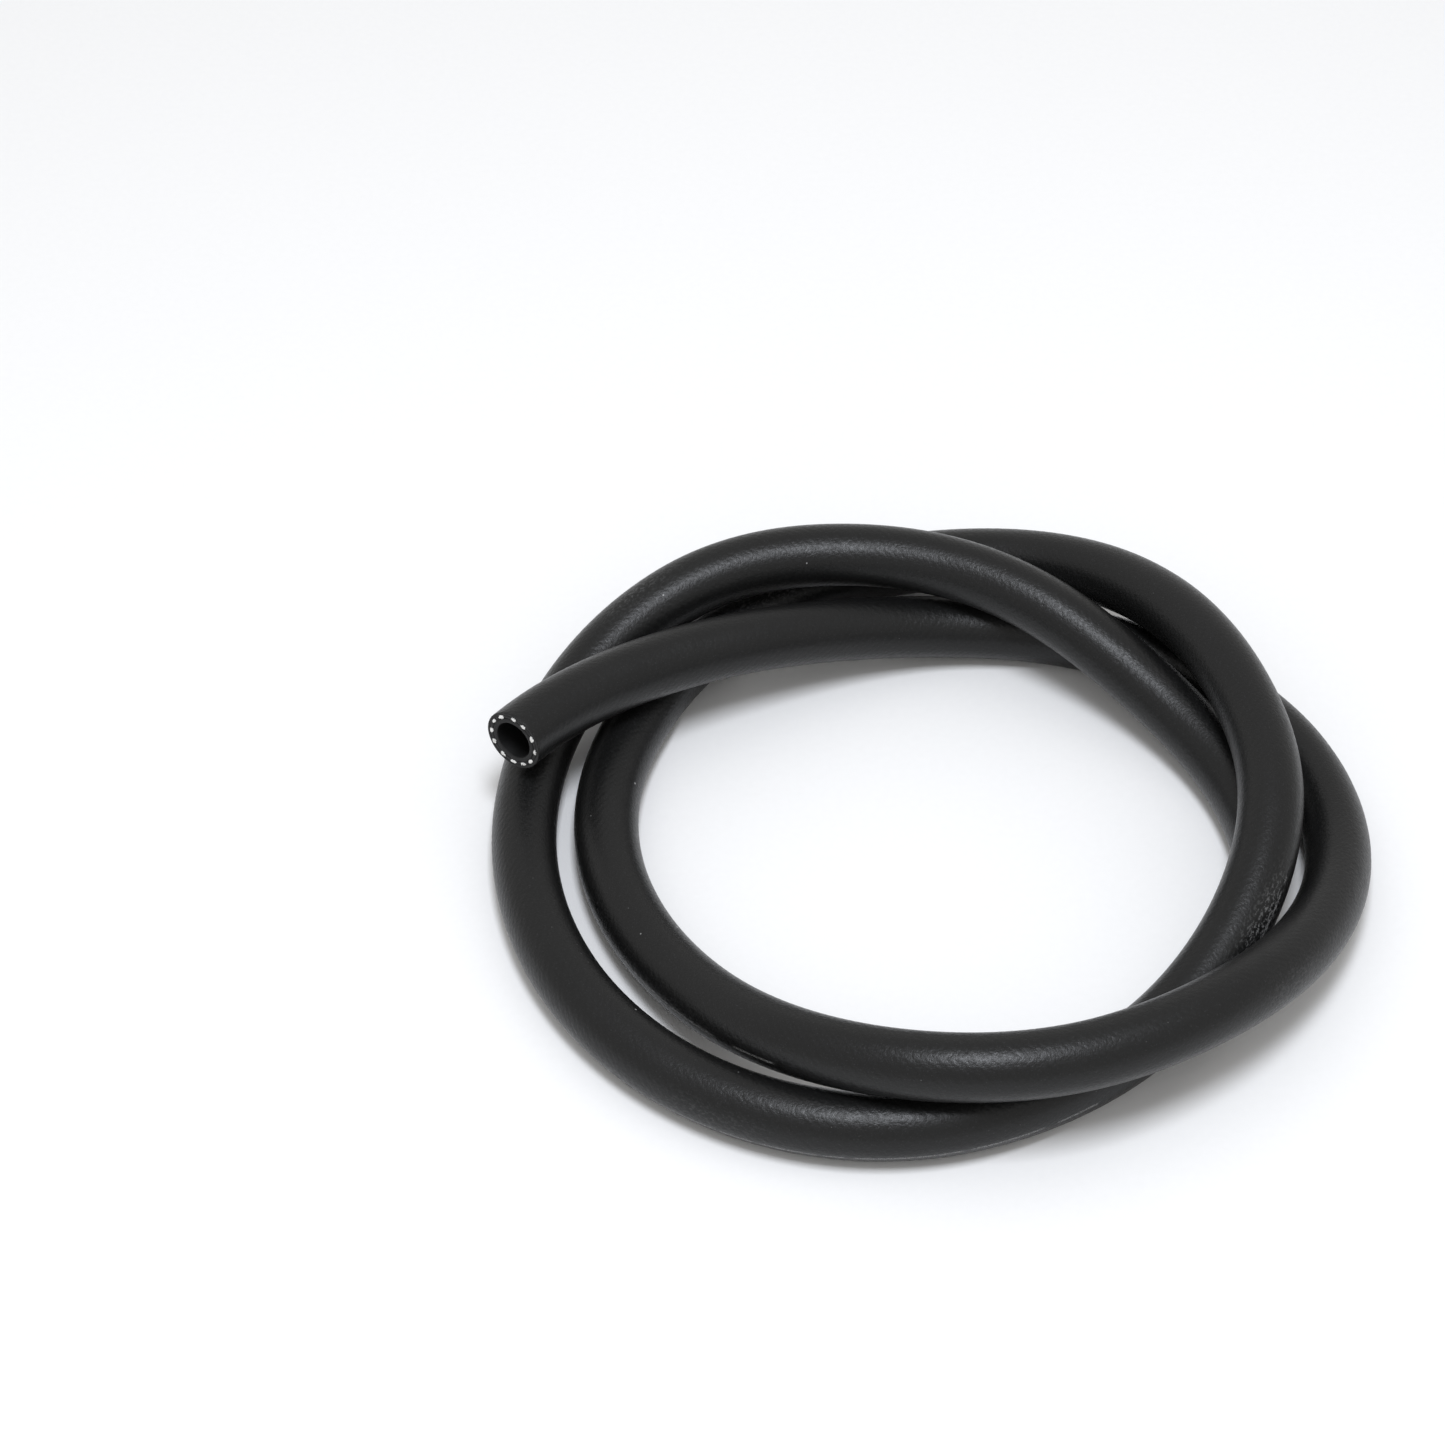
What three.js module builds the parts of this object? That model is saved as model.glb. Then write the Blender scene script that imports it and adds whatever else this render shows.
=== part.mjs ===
// A power steering hose: a length of rubber hose with a textile braid, cut square at both ends
// and lying in a loose flat coil of two and a half turns whose strands cross over each other.
// Millimetres, +Z up. The coil lies on the plane z = 0, with its box centred on the Z axis.
import * as THREE from "three";

// Section of the hose, from the bore outwards.
const BORE = 10;
const TUBE_WALL = 1.25;
const BRAID_WALL = 0.5;
const COVER_WALL = 0.75;
// Clearance between one layer of the wall and the next.
const LAYER_GAP = 0.25;

// The coil. Lane 0 is a circle of this radius, and each further lane lies one hose outside it.
const COIL_RADIUS = 82;
const STRAND_GAP = 0.4;
const START_DEGREES = 175;
const STATIONS_PER_TURN = 16;

// Facets of each layer, round the section and along the route.
const SECTION_SIDES = 12;
const ROUTE_STEPS = 80;

// Where the hose lies, clockwise from its raised end, as [lane, layer] at equal angles.
// Layer 0 lies on the floor and layer 1 lies on a strand below.
const STATIONS = [
  // Left end, over the two outer strands and down along the top.
  [1.38, 1.24], [-0.14, 1.02], [-0.92, 0.8], [-1.05, 0.4],
  [-0.8, 0.05], [-0.4, 0], [0.12, 0], [0.74, 0],
  // Right side, over the next turn at the bottom and down to the left.
  [1.03, 0.03], [0.93, 0.53], [0.8, 1.07], [0.77, 1.12],
  [0.64, 1.12], [0.26, 0.6], [-0.08, 0.08], [-0.05, 0],
  // Left side, under the first turn, then up over it at the top right.
  [0, 0], [0, 0], [0.25, 0], [0.57, 0.02],
  [0.78, 0.1], [0.6, 0.66], [0.1, 1.15], [-0.14, 1.12],
  // Right side, over the far end, down and under the first turn to the outside.
  [-0.11, 1.12], [-0.11, 0.58], [-0.06, 0.02], [0.3, 0],
  [0.85, 0], [1.2, 0], [1.3, 0], [1.25, 0],
  // Left side, up over both turns at the top, and down to the end under the right side.
  [1.2, 0], [1.13, 0.35], [0.6, 1.12], [0, 1.12],
  [-0.55, 1.15], [-0.95, 1], [-0.9, 0.45], [-0.51, 0.04],
  [-0.13, 0],
];

// Radii of the layers.
const tubeInner = BORE / 2;
const tubeOuter = tubeInner + TUBE_WALL;
const braidInner = tubeOuter + LAYER_GAP;
const braidOuter = braidInner + BRAID_WALL;
const coverInner = braidOuter + LAYER_GAP;
const coverOuter = coverInner + COVER_WALL;

// Distance between the centrelines of two strands that lie side by side or on each other.
const pitch = 2 * coverOuter + STRAND_GAP;

const startAngle = THREE.MathUtils.degToRad(START_DEGREES);
const stationAngle = (2 * Math.PI) / STATIONS_PER_TURN;

// The lane or the layer of a station. Past either end of the list its last step is repeated.
function stationValue(index, column) {
  const last = STATIONS.length - 1;
  if (index < 0) {
    return 2 * STATIONS[0][column] - STATIONS[1][column];
  }
  if (index > last) {
    return 2 * STATIONS[last][column] - STATIONS[last - 1][column];
  }
  return STATIONS[index][column];
}

// A uniform cubic B-spline through the stations' lane or layer.
function smoothValue(place, column) {
  const index = Math.min(Math.floor(place), STATIONS.length - 2);
  const f = place - index;
  const weights = [
    (1 - f) ** 3 / 6,
    (3 * f ** 3 - 6 * f ** 2 + 4) / 6,
    (-3 * f ** 3 + 3 * f ** 2 + 3 * f + 1) / 6,
    f ** 3 / 6,
  ];
  return weights.reduce((sum, weight, k) => sum + weight * stationValue(index + k - 1, column), 0);
}

// Centreline of the hose.
class CoilRoute extends THREE.Curve {
  getPoint(t, target = new THREE.Vector3()) {
    const place = t * (STATIONS.length - 1);
    const angle = startAngle - place * stationAngle;
    const radius = COIL_RADIUS + smoothValue(place, 0) * pitch;
    const height = coverOuter + smoothValue(place, 1) * pitch;
    return target.set(radius * Math.cos(angle), radius * Math.sin(angle), height);
  }
}

const route = new CoilRoute();
route.arcLengthDivisions = 10 * ROUTE_STEPS;

// Corners of the section's circle. The first corner points straight up or down along the route.
function circleCorners(radius) {
  return Array.from({ length: SECTION_SIDES }, (_, i) => {
    const angle = (i / SECTION_SIDES) * 2 * Math.PI;
    return new THREE.Vector2(radius * Math.cos(angle), radius * Math.sin(angle));
  });
}

// One layer of the hose's wall, open at both ends.
function wallLayer(name, outerRadius, innerRadius, material) {
  const section = new THREE.Shape(circleCorners(outerRadius));
  section.holes.push(new THREE.Path(circleCorners(innerRadius)));
  const geometry = new THREE.ExtrudeGeometry(section, { steps: ROUTE_STEPS, extrudePath: route });
  const mesh = new THREE.Mesh(geometry, material);
  mesh.name = name;
  return mesh;
}

const coverRubber = new THREE.MeshStandardMaterial({ color: 0x26272a, roughness: 0.5, metalness: 0 });
const braidYarn = new THREE.MeshStandardMaterial({ color: 0xe8e6df, roughness: 0.9, metalness: 0 });
const tubeRubber = new THREE.MeshStandardMaterial({ color: 0x18191b, roughness: 0.6, metalness: 0 });

const hose = new THREE.Group();
hose.add(wallLayer("rubber_cover", coverOuter, coverInner, coverRubber));
hose.add(wallLayer("textile_braid", braidOuter, braidInner, braidYarn));
hose.add(wallLayer("inner_tube", tubeOuter, tubeInner, tubeRubber));

// Stand the coil on the floor with its box centred on the Z axis.
const box = new THREE.Box3().setFromObject(hose);
const centre = box.getCenter(new THREE.Vector3());
hose.position.set(-centre.x, -centre.y, -box.min.z);

export default hose;
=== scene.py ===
import math
import random

import bmesh
import bpy
import numpy as np
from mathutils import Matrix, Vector


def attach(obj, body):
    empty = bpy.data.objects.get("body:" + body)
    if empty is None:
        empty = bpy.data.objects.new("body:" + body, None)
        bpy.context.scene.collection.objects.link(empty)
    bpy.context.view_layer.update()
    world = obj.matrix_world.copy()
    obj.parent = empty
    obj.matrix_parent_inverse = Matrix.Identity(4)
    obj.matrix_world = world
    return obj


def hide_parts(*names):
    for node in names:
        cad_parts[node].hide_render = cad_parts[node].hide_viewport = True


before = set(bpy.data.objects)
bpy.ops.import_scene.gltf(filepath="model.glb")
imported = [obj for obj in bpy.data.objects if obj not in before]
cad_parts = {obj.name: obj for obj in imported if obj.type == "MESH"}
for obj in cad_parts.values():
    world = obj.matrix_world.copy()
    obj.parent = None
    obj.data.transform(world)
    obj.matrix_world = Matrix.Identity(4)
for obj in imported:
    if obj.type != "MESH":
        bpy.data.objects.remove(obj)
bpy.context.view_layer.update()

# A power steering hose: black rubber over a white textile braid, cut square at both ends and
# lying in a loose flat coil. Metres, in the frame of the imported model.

MM = 0.001
BODY = "root"

# Section of the hose, from the bore outwards.
BORE_RADIUS = 5.0 * MM
TUBE_WALL = 1.25 * MM
BRAID_WALL = 0.5 * MM
COVER_WALL = 0.75 * MM
LAYER_GAP = 0.25 * MM
TUBE_RADIUS = BORE_RADIUS + TUBE_WALL
BRAID_INNER = TUBE_RADIUS + LAYER_GAP
BRAID_OUTER = BRAID_INNER + BRAID_WALL
COVER_INNER = BRAID_OUTER + LAYER_GAP
HOSE_RADIUS = COVER_INNER + COVER_WALL

# The coil. Lane 0 is a circle of this radius, and each further lane lies one hose outside it.
COIL_RADIUS = 82.0 * MM
STRAND_GAP = 0.4 * MM
PITCH = 2 * HOSE_RADIUS + STRAND_GAP
START_DEGREES = 175.0
STATIONS_PER_TURN = 16

# Where the hose lies, clockwise from its raised end, as (lane, layer) at equal angles.
# Layer 0 lies on the floor and layer 1 lies on a strand below.
STATIONS = [
    # Left end, over the two outer strands and down along the top.
    (1.38, 1.24), (-0.14, 1.02), (-0.92, 0.8), (-1.05, 0.4),
    (-0.8, 0.05), (-0.4, 0), (0.12, 0), (0.74, 0),
    # Right side, over the next turn at the bottom and down to the left.
    (1.03, 0.03), (0.93, 0.53), (0.8, 1.07), (0.77, 1.12),
    (0.64, 1.12), (0.26, 0.6), (-0.08, 0.08), (-0.05, 0),
    # Left side, under the first turn, then up over it at the top right.
    (0, 0), (0, 0), (0.25, 0), (0.57, 0.02),
    (0.78, 0.1), (0.6, 0.66), (0.1, 1.15), (-0.14, 1.12),
    # Right side, over the far end, down and under the first turn to the outside.
    (-0.11, 1.12), (-0.11, 0.58), (-0.06, 0.02), (0.3, 0),
    (0.85, 0), (1.2, 0), (1.3, 0), (1.25, 0),
    # Left side, up over both turns at the top, and down to the end under the right side.
    (1.2, 0), (1.13, 0.35), (0.6, 1.12), (0, 1.12),
    (-0.55, 1.15), (-0.95, 1), (-0.9, 0.45), (-0.51, 0.04),
    (-0.13, 0),
]

# How far the hose's wall is turned about its own line, in degrees at every fourth station.
# 0 has the mark line facing outwards from the coil, and 90 has it facing up.
TWIST = [-60, -70, -40, 0, 0, 30, 55, -35, -5, -30, -60]
STATIONS_PER_TWIST = 4

# Impression of the braid in the cover: shallow ridges at about 45 degrees that meet in two
# lines along the hose. The bend is below 1 so that they round those lines without a kink.
RIDGE_PITCH = 2.4 * MM
RIDGE_HEIGHT = 0.025 * MM
RIDGE_BEND = 0.97
ROWS_PER_RIDGE = 4

# Facets round the hose, and how far apart the rings of its plain surfaces are.
COVER_SIDES = 36
TUBE_SIDES = 36
BRAID_SIDES = 24
RING_STEP = 6 * MM
BORE_RING_STEP = 3 * MM

# How far behind a cut the plain surfaces inside the wall end.
CUT_MARGIN = 2 * MM
BRAID_RECESS = 0.8 * MM
COVER_INSET = 0.6 * MM

# Yarn ends that stand out of the cuts. The ranges are millimetres.
YARNS = 12
YARN_SHIFT_SHARE = 0.14
YARN_RADIUS_SHIFT = 0.05
YARN_HALF_WIDTH = (0.50, 0.72)
YARN_HALF_HEIGHT = (0.36, 0.44)
YARN_LEAN = (0.1, 0.3)
YARN_STANDS_OUT = (0.2, 0.45)
FIBRES_PER_YARN = 19
FIBRE_RADIUS = 0.12 * MM
FIBRE_SIDES = 6
FIBRE_ROOT = 1.6 * MM
FIBRE_LEAST_REACH = 0.06 * MM
FIBRE_REACH_SHIFT = (-0.06, 0.1)
FIBRE_TURN_SHIFT = 0.2
GOLDEN_ANGLE = math.pi * (3 - math.sqrt(5))

# The fibres in the middle of a yarn stand out by this share of its reach, those at its rim by
# this much less, and all fan out sideways by this share of their distance from its middle.
MIDDLE_REACH = 1.15
RIM_REACH_LOSS = 0.5
FIBRE_FAN = 0.3

# Points that are closer than this are merged when a piece is built.
MERGE_DISTANCE = 0.002 * MM

# Scuffed places, as (station, degrees above the outward side, length, width, strength).
SCUFFS = [
    (25.1, 35, 11 * MM, 3 * MM, 1.0),
    (13.8, -10, 9 * MM, 2.5 * MM, 0.5),
    (29.2, 10, 14 * MM, 3 * MM, 0.15),
    (9.5, 20, 14 * MM, 4 * MM, 0.15),
    (33.6, 60, 12 * MM, 4 * MM, 0.4),
    (4.6, 70, 12 * MM, 3 * MM, 0.35),
    (18.6, 100, 14 * MM, 5 * MM, 0.4),
]

# Stretches of the hose that show a worn paint line, as (first station, last station).
PAINTED = [(12.9, 14.5), (24.7, 25.7), (26.9, 30.4)]


def smooth_values(values, place):
    """Uniform cubic B-spline through a list of values, at places counted in steps of the list."""
    v = np.asarray(values, dtype=float).reshape(len(values), -1)
    v = np.vstack([2 * v[0] - v[1], v, 2 * v[-1] - v[-2]])
    place = np.asarray(place, dtype=float)
    index = np.clip(np.floor(place).astype(int), 0, len(values) - 2)
    f = (place - index)[:, None]
    weights = (
        (1 - f) ** 3 / 6,
        (3 * f ** 3 - 6 * f ** 2 + 4) / 6,
        (-3 * f ** 3 + 3 * f ** 2 + 3 * f + 1) / 6,
        f ** 3 / 6,
    )
    return sum(w * v[index + k] for k, w in enumerate(weights))


def unit(rows):
    """Each row scaled to length 1."""
    return rows / np.linalg.norm(rows, axis=1)[:, None]


class Route:
    """Centreline of the hose, measured along its length in metres."""

    SAMPLES = 8001

    def __init__(self):
        self.places = np.linspace(0, len(STATIONS) - 1, self.SAMPLES)
        lane_layer = smooth_values(STATIONS, self.places)
        angle = math.radians(START_DEGREES) - self.places * 2 * math.pi / STATIONS_PER_TURN
        radius = COIL_RADIUS + lane_layer[:, 0] * PITCH
        height = HOSE_RADIUS + lane_layer[:, 1] * PITCH
        self.points = np.stack([radius * np.cos(angle), radius * np.sin(angle), height], axis=1)
        steps = np.linalg.norm(np.diff(self.points, axis=0), axis=1)
        self.along = np.concatenate([[0.0], np.cumsum(steps)])
        self.length = float(self.along[-1])
        self.tangents = unit(np.gradient(self.points, self.along, axis=0))
        self.move_to_origin()

    def move_to_origin(self):
        """Centres the hose's box on the Z axis and stands it on the floor, as in the model's frame."""
        reach = HOSE_RADIUS * np.sqrt(1 - self.tangents ** 2)
        low = (self.points - reach).min(axis=0)
        high = (self.points + reach).max(axis=0)
        self.points -= [(low[0] + high[0]) / 2, (low[1] + high[1]) / 2, low[2]]

    def along_at(self, station):
        """Distance along the hose of a station."""
        return float(np.interp(station, self.places, self.along))

    def at(self, s):
        """Centre, direction, outward side and upper side of the hose at the distances s."""
        centre = np.stack([np.interp(s, self.along, self.points[:, k]) for k in range(3)], axis=1)
        tangent = np.stack([np.interp(s, self.along, self.tangents[:, k]) for k in range(3)], axis=1)
        tangent = unit(tangent)
        outward = unit(np.cross([0.0, 0.0, 1.0], tangent))
        above = np.cross(tangent, outward)
        return centre, tangent, outward, above

    def twist(self, s):
        """Turn of the hose's wall at the distances s, in radians."""
        place = np.interp(s, self.along, self.places) / STATIONS_PER_TWIST
        return np.radians(smooth_values(TWIST, place)[:, 0])


route = Route()


def even_angles(sides):
    """Angles that are spread evenly round the hose."""
    return np.arange(sides) * 2 * math.pi / sides


def wall_points(s, around, radius, outside=0.0):
    """Points at the distances s, at angles from the mark line, at radii, and this far out of a cut."""
    s, around, radius, outside = np.broadcast_arrays(s, around, radius, outside)
    centre, tangent, outward, above = route.at(s)
    angle = around + route.twist(s)
    side = np.cos(angle)[:, None] * outward + np.sin(angle)[:, None] * above
    out = np.where(s < route.length / 2, -outside, outside)[:, None]
    return centre + radius[:, None] * side + out * tangent


class Wall:
    """Points and faces of one piece, with the attributes that its material reads."""

    def __init__(self):
        self.points = []
        self.faces = []
        self.straight = []
        self.crest = []
        self.cut = []

    def add(self, s, around, radius, outside=0.0, crest=1.0, cut=0.0):
        """Adds points and returns their numbers."""
        first = len(self.points)
        s, around, radius, crest, cut = np.broadcast_arrays(s, around, radius, crest, cut)
        self.points.extend(wall_points(s, around, radius, outside).tolist())
        straight = np.stack([radius * np.cos(around), radius * np.sin(around), s], axis=1)
        self.straight.extend(straight.tolist())
        self.crest.extend(crest.tolist())
        self.cut.extend(cut.tolist())
        return list(range(first, len(self.points)))

    def ring(self, s, radius, sides):
        """Adds one plain ring round the hose."""
        return self.add(s, even_angles(sides), radius)

    def join(self, a, b):
        """Faces between two rings, of which one may have twice as many points as the other."""
        few = min(len(a), len(b))
        for j in range(few):
            k = (j + 1) % few
            if len(b) > few:
                self.faces.append((a[j], b[2 * j], b[2 * j + 1], b[2 * k], a[k]))
            elif len(a) > few:
                self.faces.append((a[2 * j], b[j], b[k], a[2 * k], a[2 * j + 1]))
            else:
                self.faces.append((a[j], b[j], b[k], a[k]))

    def chain(self, rings, closed=False):
        """Faces between each ring and the next."""
        following = rings[1:] + rings[:1] if closed else rings[1:]
        for a, b in zip(rings, following):
            self.join(a, b)

    def build(self, name, material):
        """The piece as a closed mesh object with smooth shading."""
        mesh = bpy.data.meshes.new(name)
        mesh.from_pydata(self.points, [], self.faces)
        self.write_attribute(mesh, "straight", "FLOAT_VECTOR", "vector", self.straight)
        self.write_attribute(mesh, "crest", "FLOAT", "value", self.crest)
        self.write_attribute(mesh, "cut", "FLOAT", "value", self.cut)
        bm = bmesh.new()
        bm.from_mesh(mesh)
        bmesh.ops.remove_doubles(bm, verts=bm.verts, dist=MERGE_DISTANCE)
        bmesh.ops.dissolve_degenerate(bm, edges=bm.edges, dist=MERGE_DISTANCE)
        bmesh.ops.recalc_face_normals(bm, faces=bm.faces)
        for face in bm.faces:
            face.smooth = True
        bm.to_mesh(mesh)
        bm.free()
        mesh.materials.append(material)
        obj = bpy.data.objects.new(name, mesh)
        bpy.context.scene.collection.objects.link(obj)
        return obj

    @staticmethod
    def write_attribute(mesh, name, kind, field, values):
        """Stores one value per point on the mesh."""
        layer = mesh.attributes.new(name, kind, "POINT")
        layer.data.foreach_set(field, np.asarray(values, dtype=np.float32).ravel())


def uneven(rng, size, around):
    """A small seeded waviness round the hose, at these angles."""
    first_wave = 2
    waves = 9
    total = 0.0
    for n in range(first_wave, first_wave + waves):
        phase = rng.uniform(0, 2 * math.pi)
        height = rng.uniform(-1, 1)
        total = total + height * np.cos(n * around + phase)
    return size * total / math.sqrt(waves)


def ridge_lead(around):
    """How far a ridge has run along the hose by the time it has gone round by this angle."""
    bend = 1 - np.arcsin(RIDGE_BEND * np.cos(around)) / math.asin(RIDGE_BEND)
    return HOSE_RADIUS * math.pi / 2 * bend


def ridge_crest(s, around):
    """1 on the crest of a ridge and 0 in the valley."""
    phase = 2 * math.pi * (s - ridge_lead(around)) / RIDGE_PITCH
    return 0.5 + 0.5 * np.cos(phase)


def cover_outside(wall):
    """The ridged outer surface, on rows that follow the ridges. Returns its first and last rings."""
    step = RIDGE_PITCH / ROWS_PER_RIDGE
    longest = HOSE_RADIUS * math.pi
    around = even_angles(COVER_SIDES)
    lead = ridge_lead(around)
    spare_rows = 4
    count = int((route.length + longest) / step) + spare_rows
    rows = []
    for i in range(count):
        s = np.clip(i * step - longest - step + lead, 0, route.length)
        crest = ridge_crest(s, around)
        rows.append(wall.add(s, around, HOSE_RADIUS - RIDGE_HEIGHT * (1 - crest), 0.0, crest))
    wall.chain(rows)
    return rows[0], rows[-1]


def cover_cut(wall, s, rng):
    """Rings of one cut face of the cover, from its outer edge round the yarns to its inner wall."""
    # Radius, how far the ring stands out of the cut, and how uneven it is.
    profile = [
        (HOSE_RADIUS - 0.05 * MM, 0.03 * MM, 0.02 * MM),
        (HOSE_RADIUS - 0.20 * MM, 0.06 * MM, 0.04 * MM),
        (COVER_INNER + 0.30 * MM, 0.03 * MM, 0.04 * MM),
        (COVER_INNER + 0.08 * MM, 0.00 * MM, 0.03 * MM),
        (COVER_INNER - 0.02 * MM, -0.09 * MM, 0.02 * MM),
        (COVER_INNER - 0.14 * MM, 0.00 * MM, 0.03 * MM),
        (BRAID_INNER + 0.30 * MM, 0.02 * MM, 0.05 * MM),
        (BRAID_INNER, 0.01 * MM, 0.04 * MM),
        (TUBE_RADIUS + 0.12 * MM, -0.02 * MM, 0.02 * MM),
        (TUBE_RADIUS + 0.04 * MM, -0.10 * MM, 0.0),
        (TUBE_RADIUS + 0.04 * MM, -COVER_INSET, 0.0),
        (COVER_INNER, -COVER_INSET, 0.0),
    ]
    return cut_rings(wall, s, profile, 2 * COVER_SIDES, rng)


def cut_rings(wall, s, profile, sides, rng):
    """Rings of a cut face, one for each line of its profile."""
    around = even_angles(sides)
    rings = []
    for radius, outside, rough in profile:
        rings.append(wall.add(s, around, radius, outside + uneven(rng, rough, around), 1.0, 1.0))
    return rings


def plain_rings(wall, first, last, radius, step, sides):
    """Rings of a smooth surface between two distances along the hose."""
    count = max(2, round(abs(last - first) / step))
    return [wall.ring(s, radius, sides) for s in np.linspace(first, last, count + 1)]


def make_cover(material):
    """The rubber cover, with its ridges outside and its cut faces at both ends."""
    rng = random.Random(11)
    wall = Wall()
    first, last = cover_outside(wall)
    far_cut = cover_cut(wall, route.length, rng)
    near_cut = cover_cut(wall, 0.0, rng)
    far_inside = route.length - CUT_MARGIN
    inside = plain_rings(wall, far_inside, CUT_MARGIN, COVER_INNER, RING_STEP, COVER_SIDES)
    wall.chain([last] + far_cut + inside + near_cut[::-1] + [first])
    return wall.build("hose_cover", material)


def tube_cut(wall, s, rng):
    """Rings of one cut face of the inner tube, from its outer edge to its bore."""
    # Radius, how far the ring stands out of the cut, and how uneven it is.
    profile = [
        (TUBE_RADIUS, -0.08 * MM, 0.0),
        (TUBE_RADIUS - 0.06 * MM, 0.00 * MM, 0.02 * MM),
        (TUBE_RADIUS - 0.35 * MM, 0.03 * MM, 0.05 * MM),
        (BORE_RADIUS + 0.45 * MM, 0.03 * MM, 0.05 * MM),
        (BORE_RADIUS + 0.12 * MM, 0.01 * MM, 0.03 * MM),
        (BORE_RADIUS + 0.02 * MM, -0.06 * MM, 0.02 * MM),
        (BORE_RADIUS, -0.20 * MM, 0.0),
    ]
    return cut_rings(wall, s, profile, 2 * TUBE_SIDES, rng)


def make_inner_tube(material):
    """The rubber tube that the braid lies on, with its bore."""
    rng = random.Random(12)
    wall = Wall()
    first = CUT_MARGIN
    last = route.length - CUT_MARGIN
    outer = plain_rings(wall, first, last, TUBE_RADIUS, RING_STEP, TUBE_SIDES)
    far_cut = tube_cut(wall, route.length, rng)
    bore = plain_rings(wall, last, first, BORE_RADIUS, BORE_RING_STEP, TUBE_SIDES)
    near_cut = tube_cut(wall, 0.0, rng)
    wall.chain(outer + far_cut + bore + near_cut[::-1], closed=True)
    return wall.build("hose_inner_tube", material)


def add_fibre(wall, s, around, radius, lean, out):
    """One fibre of a yarn end: a thin tube along the hose with a round tip outside the cut."""
    turn = even_angles(FIBRE_SIDES)
    # How far outside the cut, share of the lean, and share of the thickness.
    stages = [
        (-FIBRE_ROOT, 0.0, 1.0),
        (-0.1 * MM, 0.2, 1.0),
        (0.6 * out, 0.7, 1.0),
        (0.93 * out, 0.95, 0.85),
        (out, 1.0, 0.35),
    ]
    rings = []
    for outside, share, thickness in stages:
        thick = FIBRE_RADIUS * thickness
        middle = around + share * lean / radius
        angles = middle + thick * np.cos(turn) / radius
        rings.append(wall.add(s, angles, radius + thick * np.sin(turn), outside))
    wall.chain(rings)
    wall.faces.append(tuple(rings[0]))
    wall.faces.append(tuple(rings[-1]))


def add_yarn_end(wall, s, around, side, rng):
    """A cut yarn between the rubbers: a bundle of fibres that leans the way the yarn is braided."""
    middle = (TUBE_RADIUS + COVER_INNER) / 2 + rng.uniform(-YARN_RADIUS_SHIFT, YARN_RADIUS_SHIFT) * MM
    wide = rng.uniform(*YARN_HALF_WIDTH) * MM
    high = rng.uniform(*YARN_HALF_HEIGHT) * MM
    lean = side * rng.uniform(*YARN_LEAN) * MM
    out = rng.uniform(*YARN_STANDS_OUT) * MM
    for k in range(FIBRES_PER_YARN):
        share = math.sqrt((k + 0.5) / FIBRES_PER_YARN)
        turn = k * GOLDEN_ANGLE + rng.uniform(-FIBRE_TURN_SHIFT, FIBRE_TURN_SHIFT)
        across = wide * share * math.cos(turn)
        up = high * share * math.sin(turn)
        reach = out * (MIDDLE_REACH - RIM_REACH_LOSS * share ** 2)
        reach = max(reach + rng.uniform(*FIBRE_REACH_SHIFT) * MM, FIBRE_LEAST_REACH)
        sideways = lean + FIBRE_FAN * across
        add_fibre(wall, s, around + across / middle, middle + up, sideways, reach)


def make_braid(material):
    """The textile braid: a sleeve between the rubbers, and the yarn ends in the cuts."""
    rng = random.Random(13)
    wall = Wall()
    first = BRAID_RECESS
    last = route.length - BRAID_RECESS
    outer = plain_rings(wall, first, last, BRAID_OUTER, RING_STEP, BRAID_SIDES)
    inner = plain_rings(wall, last, first, BRAID_INNER, RING_STEP, BRAID_SIDES)
    wall.chain(outer + inner, closed=True)
    for s in (0.0, route.length):
        for k in range(YARNS):
            shift = rng.uniform(-YARN_SHIFT_SHARE, YARN_SHIFT_SHARE)
            around = 2 * math.pi * (k + shift) / YARNS
            add_yarn_end(wall, s, around, 1 if k % 2 else -1, rng)
    return wall.build("hose_braid", material)


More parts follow.
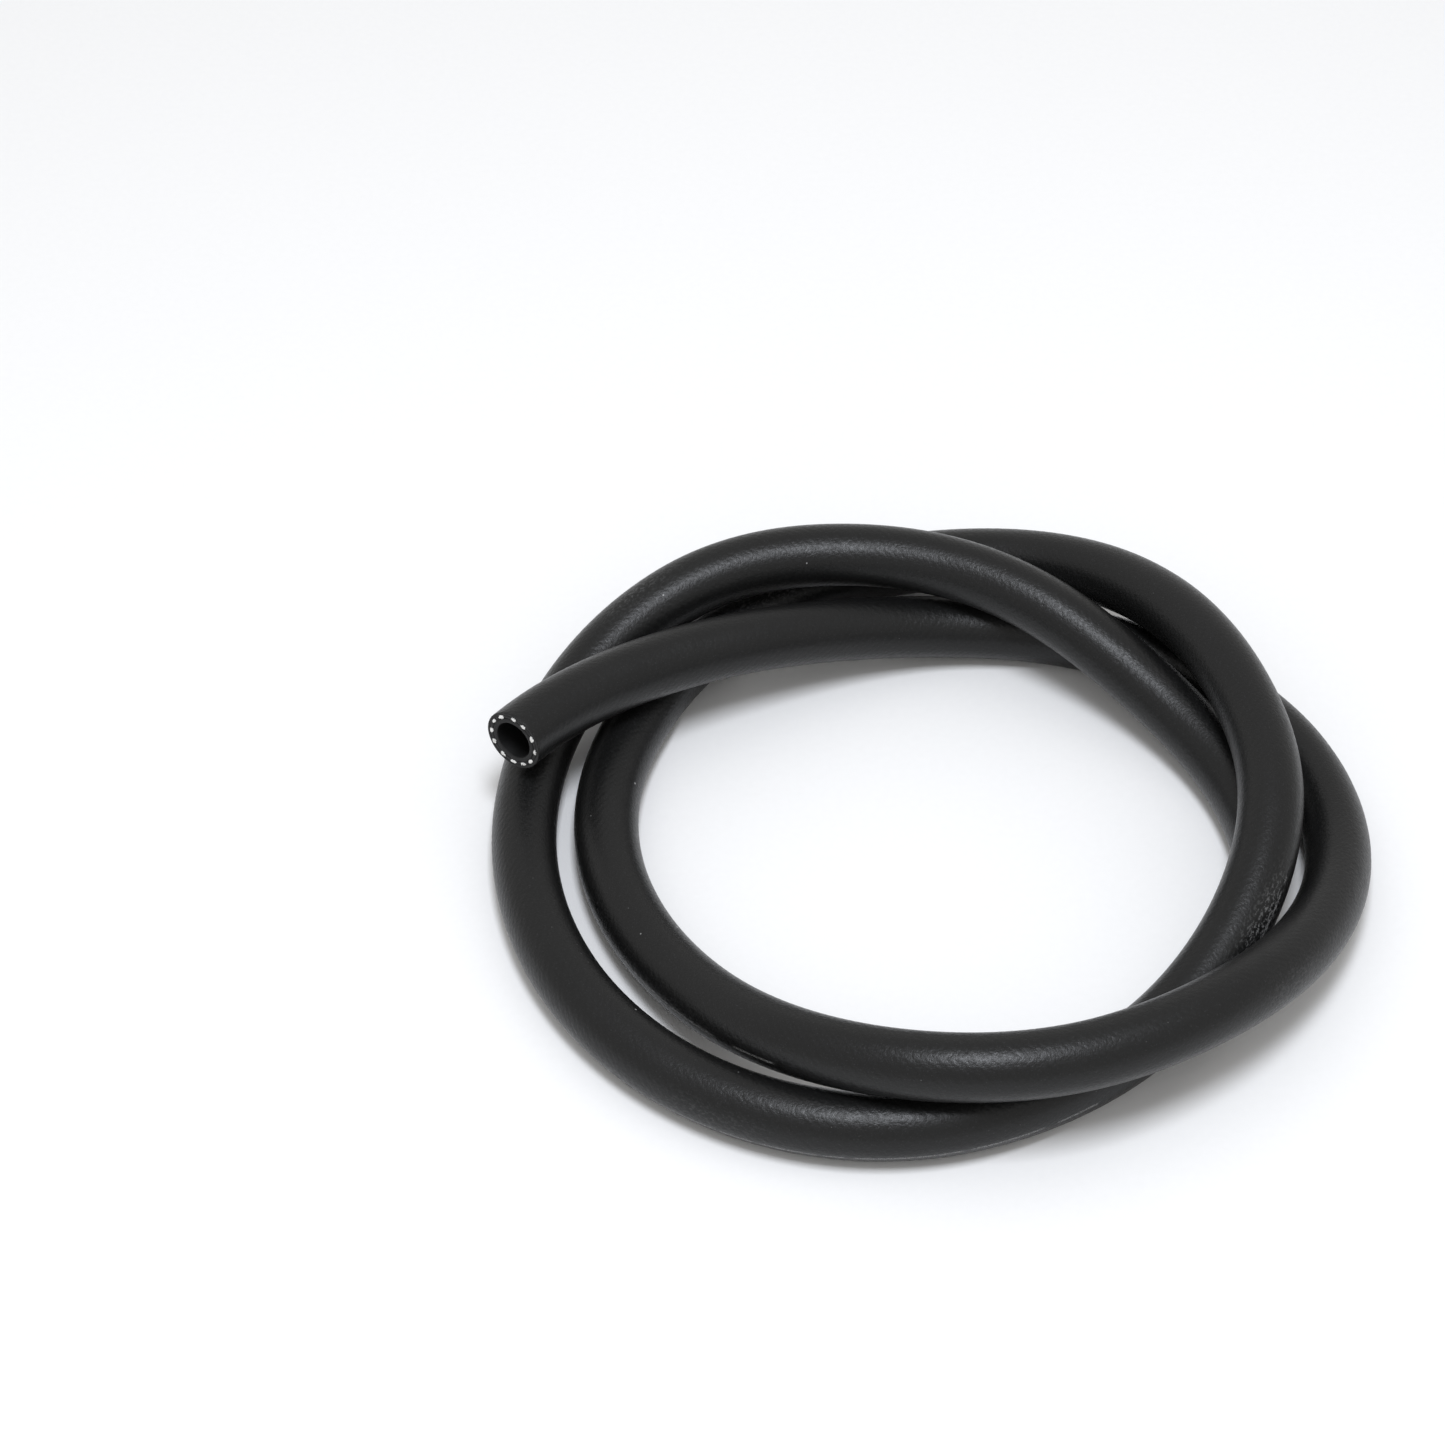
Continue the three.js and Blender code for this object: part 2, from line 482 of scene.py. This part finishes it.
class Nodes:
    """Short calls that build the nodes of one material."""

    def __init__(self, name):
        self.material = bpy.data.materials.new(name)
        self.material.use_nodes = True
        self.tree = self.material.node_tree
        self.shader = self.tree.nodes["Principled BSDF"]

    def put(self, socket, value):
        """Links an output to a socket, or sets the socket to a plain value."""
        if isinstance(value, bpy.types.NodeSocket):
            self.tree.links.new(value, socket)
        else:
            socket.default_value = value

    def attribute(self, name, output="Fac"):
        """A value stored on the mesh."""
        node = self.tree.nodes.new("ShaderNodeAttribute")
        node.attribute_name = name
        return node.outputs[output]

    def scaled(self, vector, factors):
        """A vector multiplied by three factors."""
        node = self.tree.nodes.new("ShaderNodeVectorMath")
        node.operation = "MULTIPLY"
        self.put(node.inputs[0], vector)
        self.put(node.inputs[1], factors)
        return node.outputs[0]

    def noise(self, vector, size, detail=2.0, roughness=0.5):
        """Noise whose features are about this size in metres, from 0 to 1."""
        node = self.tree.nodes.new("ShaderNodeTexNoise")
        self.put(node.inputs["Vector"], vector)
        self.put(node.inputs["Scale"], 1 / size)
        self.put(node.inputs["Detail"], detail)
        self.put(node.inputs["Roughness"], roughness)
        return node.outputs[0]

    def specks(self, vector, spacing, radius, share):
        """1 on small dots: one dot in a cell of this spacing, and only in this share of the cells."""
        node = self.tree.nodes.new("ShaderNodeTexVoronoi")
        self.put(node.inputs["Vector"], vector)
        self.put(node.inputs["Scale"], 1 / spacing)
        dot = self.between(node.outputs["Distance"], radius / spacing, 0.5 * radius / spacing)
        split = self.tree.nodes.new("ShaderNodeSeparateColor")
        self.put(split.inputs[0], node.outputs["Color"])
        kept = self.math("LESS_THAN", split.outputs[0], share)
        return self.math("MULTIPLY", dot, kept)

    def math(self, operation, a, b=0.0):
        """One math node."""
        node = self.tree.nodes.new("ShaderNodeMath")
        node.operation = operation
        self.put(node.inputs[0], a)
        self.put(node.inputs[1], b)
        return node.outputs[0]

    def between(self, value, low, high, to_low=0.0, to_high=1.0):
        """Smooth change from to_low to to_high as the value goes from low to high."""
        node = self.tree.nodes.new("ShaderNodeMapRange")
        node.interpolation_type = "SMOOTHSTEP"
        self.put(node.inputs["Value"], value)
        self.put(node.inputs["From Min"], low)
        self.put(node.inputs["From Max"], high)
        self.put(node.inputs["To Min"], to_low)
        self.put(node.inputs["To Max"], to_high)
        return node.outputs["Result"]

    def mix(self, share, a, b):
        """Colour between a and b."""
        node = self.tree.nodes.new("ShaderNodeMix")
        node.data_type = "RGBA"
        self.put(node.inputs[0], share)
        self.put(node.inputs[6], a)
        self.put(node.inputs[7], b)
        return node.outputs[2]

    def blend(self, base, mask, share, colour):
        """The base with this share of a colour where the mask is 1."""
        return self.mix(self.math("MULTIPLY", mask, share), base, colour)

    def raised(self, value, mask, amount):
        """A value that is higher by this amount where the mask is 1."""
        return self.math("ADD", value, self.math("MULTIPLY", mask, amount))

    def bump(self, height, distance, strength=1.0, normal=None):
        """Bump whose full height is this distance in metres."""
        node = self.tree.nodes.new("ShaderNodeBump")
        self.put(node.inputs["Height"], height)
        self.put(node.inputs["Distance"], distance)
        self.put(node.inputs["Strength"], strength)
        if normal is not None:
            self.put(node.inputs["Normal"], normal)
        return node.outputs[0]


def grey(level, tint=(1.0, 1.0, 1.0)):
    """A colour from a grey level and a faint tint."""
    return (level * tint[0], level * tint[1], level * tint[2], 1.0)


def cover_rubber():
    """Satin black rubber with a fine grain, dust specks, scuffs and a worn paint line."""
    n = Nodes("cover_rubber")
    straight = n.attribute("straight", "Vector")
    cut = n.attribute("cut")
    cloud = n.noise(straight, 28 * MM, detail=3.0)
    streak = n.noise(n.scaled(straight, (1.0, 1.0, 0.06)), 0.9 * MM, detail=3.0)
    grain = n.noise(straight, 0.75 * MM, detail=3.0, roughness=0.65)
    worn = cover_scratches(n, straight)

    base = rubber_tones(n, straight, cloud, streak)
    base = add_dust(n, straight, base)
    base = n.blend(base, worn, 0.55, grey(0.3))
    base = n.blend(base, paint_line(n, straight), 0.5, grey(0.4))
    base = n.blend(base, cut, 0.8, grey(0.004))
    n.put(n.shader.inputs["Base Color"], base)

    rough = n.between(grain, 0.3, 0.7, to_low=0.25, to_high=0.37)
    rough = n.raised(rough, cloud, 0.08)
    rough = n.raised(rough, worn, 0.25)
    rough = n.raised(rough, cut, 0.2)
    n.put(n.shader.inputs["Roughness"], rough)
    n.shader.inputs["Specular IOR Level"].default_value = 0.32

    relief = n.bump(grain, 0.13 * MM, strength=0.85)
    relief = n.bump(streak, 0.03 * MM, strength=0.5, normal=relief)
    relief = n.bump(n.noise(straight, 7 * MM), 0.25 * MM, strength=0.35, normal=relief)
    n.put(n.shader.inputs["Normal"], relief)
    return n.material


def rubber_tones(n, straight, cloud, streak):
    """Black that varies in clouds, with streaks, with the crests of the ridges painted paler as a
    painted highlight, and with flecks painted lighter as painted glints.
    """
    crest = n.attribute("crest")
    # Painted glints: small flecks painted lighter and bluish, standing in for light catching the
    # grain.
    painted_glint = n.between(n.noise(straight, 0.32 * MM, detail=1.0), 0.62, 0.78)
    base = n.mix(cloud, grey(0.0045, (1.0, 1.02, 1.02)), grey(0.0075, (1.0, 1.02, 1.0)))
    # Painted highlight: the crests of the braid ridges are painted paler and a little bluish, so the
    # valleys read darker.
    base = n.blend(base, crest, 0.2, grey(0.011, (1.0, 1.0, 1.04)))
    base = n.blend(base, streak, 0.3, grey(0.010))
    # The painted glints lighten the black in small flecks.
    return n.blend(base, painted_glint, 0.3, grey(0.06, (0.96, 0.98, 1.05)))


def add_dust(n, straight, base):
    """A few white specks and many finer, fainter ones."""
    specks = n.specks(straight, spacing=10 * MM, radius=0.36 * MM, share=0.5)
    fine = n.specks(straight, spacing=3.2 * MM, radius=0.16 * MM, share=0.3)
    base = n.blend(base, specks, 0.7, grey(0.5))
    return n.blend(base, fine, 0.22, grey(0.35))


def cover_scratches(n, straight):
    """Fine scratches, only where the cover is scuffed."""
    scratches = n.noise(n.scaled(straight, (1.0, 1.0, 0.6)), 0.6 * MM, detail=4.0, roughness=0.7)
    return n.math("MULTIPLY", n.attribute("scuff"), n.between(scratches, 0.5, 0.62))


def paint_line(n, straight):
    """A thin worn paint line along the hose, broken and flaked."""
    split = n.tree.nodes.new("ShaderNodeSeparateXYZ")
    n.put(split.inputs[0], straight)
    x, y, s = split.outputs
    off_line = n.math("ABSOLUTE", n.math("MULTIPLY", n.math("ARCTAN2", y, x), HOSE_RADIUS))
    line = n.between(off_line, 0.42 * MM, 0.28 * MM)
    along = n.tree.nodes.new("ShaderNodeCombineXYZ")
    n.put(along.inputs[2], s)
    unbroken = n.between(n.noise(along.outputs[0], 9 * MM, detail=1.0), 0.40, 0.46)
    flaked = n.between(n.noise(straight, 0.22 * MM, detail=1.0), 0.42, 0.6)
    paint = n.math("MULTIPLY", n.math("MULTIPLY", line, unbroken), flaked)
    return n.math("MULTIPLY", paint, n.attribute("painted"))


def tube_rubber():
    """Dark matt rubber with fine streaks along the bore."""
    n = Nodes("tube_rubber")
    straight = n.attribute("straight", "Vector")
    cut = n.attribute("cut")
    streak = n.noise(n.scaled(straight, (1.0, 1.0, 0.05)), 0.6 * MM, detail=3.0)
    grain = n.noise(straight, 0.3 * MM, detail=3.0, roughness=0.6)
    base = n.mix(streak, grey(0.003), grey(0.007))
    base = n.blend(base, cut, grain, grey(0.008, (1.0, 1.0, 1.03)))
    n.put(n.shader.inputs["Base Color"], base)
    n.put(n.shader.inputs["Roughness"], n.between(grain, 0.3, 0.7, to_low=0.5, to_high=0.68))
    n.shader.inputs["Specular IOR Level"].default_value = 0.3
    relief = n.bump(grain, 0.04 * MM, strength=0.6)
    relief = n.bump(streak, 0.04 * MM, strength=0.6, normal=relief)
    n.put(n.shader.inputs["Normal"], relief)
    return n.material


def braid_yarn():
    """Off-white synthetic yarn, slightly soiled between its fibres."""
    n = Nodes("braid_yarn")
    straight = n.attribute("straight", "Vector")
    soil = n.noise(straight, 0.8 * MM, detail=3.0)
    fibre = n.noise(n.scaled(straight, (1.0, 1.0, 0.15)), 0.12 * MM, detail=2.0)
    clean = grey(0.93, (1.0, 0.995, 0.975))
    soiled = grey(0.76, (1.0, 0.985, 0.95))
    between_fibres = grey(0.6, (1.0, 0.98, 0.94))
    base = n.mix(n.between(soil, 0.35, 0.75), clean, soiled)
    base = n.blend(base, fibre, 0.2, between_fibres)
    n.put(n.shader.inputs["Base Color"], base)
    n.put(n.shader.inputs["Roughness"], n.between(fibre, 0.2, 0.8, to_low=0.65, to_high=0.9))
    n.shader.inputs["Sheen Weight"].default_value = 0.3
    n.put(n.shader.inputs["Normal"], n.bump(fibre, 0.03 * MM, strength=0.6))
    return n.material


def floor_paint():
    """Matt white with a barely visible grain."""
    n = Nodes("floor_paint")
    spread = n.tree.nodes.new("ShaderNodeTexCoord").outputs["Object"]
    grain = n.noise(spread, 2 * MM, detail=3.0)
    n.put(n.shader.inputs["Base Color"], n.mix(grain, grey(0.90), grey(0.93)))
    n.shader.inputs["Roughness"].default_value = 0.9
    n.shader.inputs["Specular IOR Level"].default_value = 0.2
    return n.material


def write_wear(obj):
    """Stores on the cover where it is scuffed and where its paint line shows."""
    mesh = obj.data
    straight = np.empty(3 * len(mesh.vertices), dtype=np.float32)
    mesh.attributes["straight"].data.foreach_get("vector", straight)
    x, y, s = straight.reshape(-1, 3).astype(float).T
    facing = np.arctan2(y, x) + route.twist(s)
    scuff = np.zeros(len(s))
    for station, degrees, length, width, strength in SCUFFS:
        off = (facing - math.radians(degrees) + math.pi) % (2 * math.pi) - math.pi
        near = ((s - route.along_at(station)) / length) ** 2 + (off * HOSE_RADIUS / width) ** 2
        scuff = np.maximum(scuff, strength * np.exp(-near))
    painted = np.zeros(len(s))
    for first, last in PAINTED:
        painted[(s > route.along_at(first)) & (s < route.along_at(last))] = 1.0
    Wall.write_attribute(mesh, "scuff", "FLOAT", "value", scuff)
    Wall.write_attribute(mesh, "painted", "FLOAT", "value", painted)


# The camera stands at 45 degrees over the floor, straight in front, and looks at this point of it.
CAMERA_ELEVATION = 45.0
CAMERA_DISTANCE = 1.0
CAMERA_TARGET = (-0.0505, 0.0446, 0.0)
CAMERA_LENS = 97.3
SENSOR_WIDTH = 36.0

# The softbox over the coil, a little in front of it, and the light that comes from all round.
SOFTBOX_PLACE = (0.0, -0.33, 1.2)
SOFTBOX_TARGET = (0.0, -0.02, 0.0)
SOFTBOX_SIZE = (0.26, 0.42)
SOFTBOX_RADIANCE = 27.0
SOFTBOX_TINT = (0.90, 0.935, 1.0)
SURROUNDINGS_TINT = (1.0, 0.99, 0.975, 1.0)
SURROUNDINGS_STRENGTH = 0.66

FLOOR_HALF_WIDTH = 4.0


def place_camera():
    """The camera at the photograph's viewing angle."""
    data = bpy.data.cameras.new("camera")
    data.lens = CAMERA_LENS
    data.sensor_width = SENSOR_WIDTH
    camera = bpy.data.objects.new("camera", data)
    tilt = math.radians(CAMERA_ELEVATION)
    offset = Vector((0.0, -math.cos(tilt), math.sin(tilt))) * CAMERA_DISTANCE
    camera.location = Vector(CAMERA_TARGET) + offset
    camera.rotation_euler = (math.pi / 2 - tilt, 0.0, 0.0)
    bpy.context.scene.collection.objects.link(camera)
    bpy.context.scene.camera = camera


def place_softbox():
    """A rectangular soft light that isn't seen by the camera itself."""
    data = bpy.data.lights.new("overhead", "AREA")
    data.shape = "RECTANGLE"
    data.size, data.size_y = SOFTBOX_SIZE
    data.energy = SOFTBOX_RADIANCE * math.pi * SOFTBOX_SIZE[0] * SOFTBOX_SIZE[1]
    data.color = SOFTBOX_TINT
    light = bpy.data.objects.new("overhead", data)
    light.location = SOFTBOX_PLACE
    direction = Vector(SOFTBOX_TARGET) - Vector(SOFTBOX_PLACE)
    light.rotation_euler = direction.to_track_quat("-Z", "Y").to_euler()
    light.visible_camera = False
    bpy.context.scene.collection.objects.link(light)


def light_surroundings():
    """A pale surrounding that lights the coil evenly from all sides."""
    world = bpy.data.worlds.new("surroundings")
    world.use_nodes = True
    background = world.node_tree.nodes["Background"]
    background.inputs["Color"].default_value = SURROUNDINGS_TINT
    background.inputs["Strength"].default_value = SURROUNDINGS_STRENGTH
    bpy.context.scene.world = world


def place_floor():
    """A plain white floor, far wider than any view of the coil."""
    half = FLOOR_HALF_WIDTH
    mesh = bpy.data.meshes.new("floor")
    corners = [(-half, -half, 0.0), (half, -half, 0.0), (half, half, 0.0), (-half, half, 0.0)]
    mesh.from_pydata(corners, [], [(0, 1, 2, 3)])
    mesh.materials.append(floor_paint())
    floor = bpy.data.objects.new("floor", mesh)
    bpy.context.scene.collection.objects.link(floor)


def build_hose():
    """The three layers of the hose, attached to one body in place of the model's parts."""
    cover = make_cover(cover_rubber())
    write_wear(cover)
    tube = make_inner_tube(tube_rubber())
    braid = make_braid(braid_yarn())
    layers = (
        (cover, "rubber_cover", "cover_rubber"),
        (tube, "inner_tube", "tube_rubber"),
        (braid, "textile_braid", "braid_yarn"),
    )
    for piece, node, slot in layers:
        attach(piece, BODY)
        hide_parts(node)


place_camera()
build_hose()
place_floor()
place_softbox()
light_surroundings()
bpy.context.scene.view_settings.view_transform = "Standard"
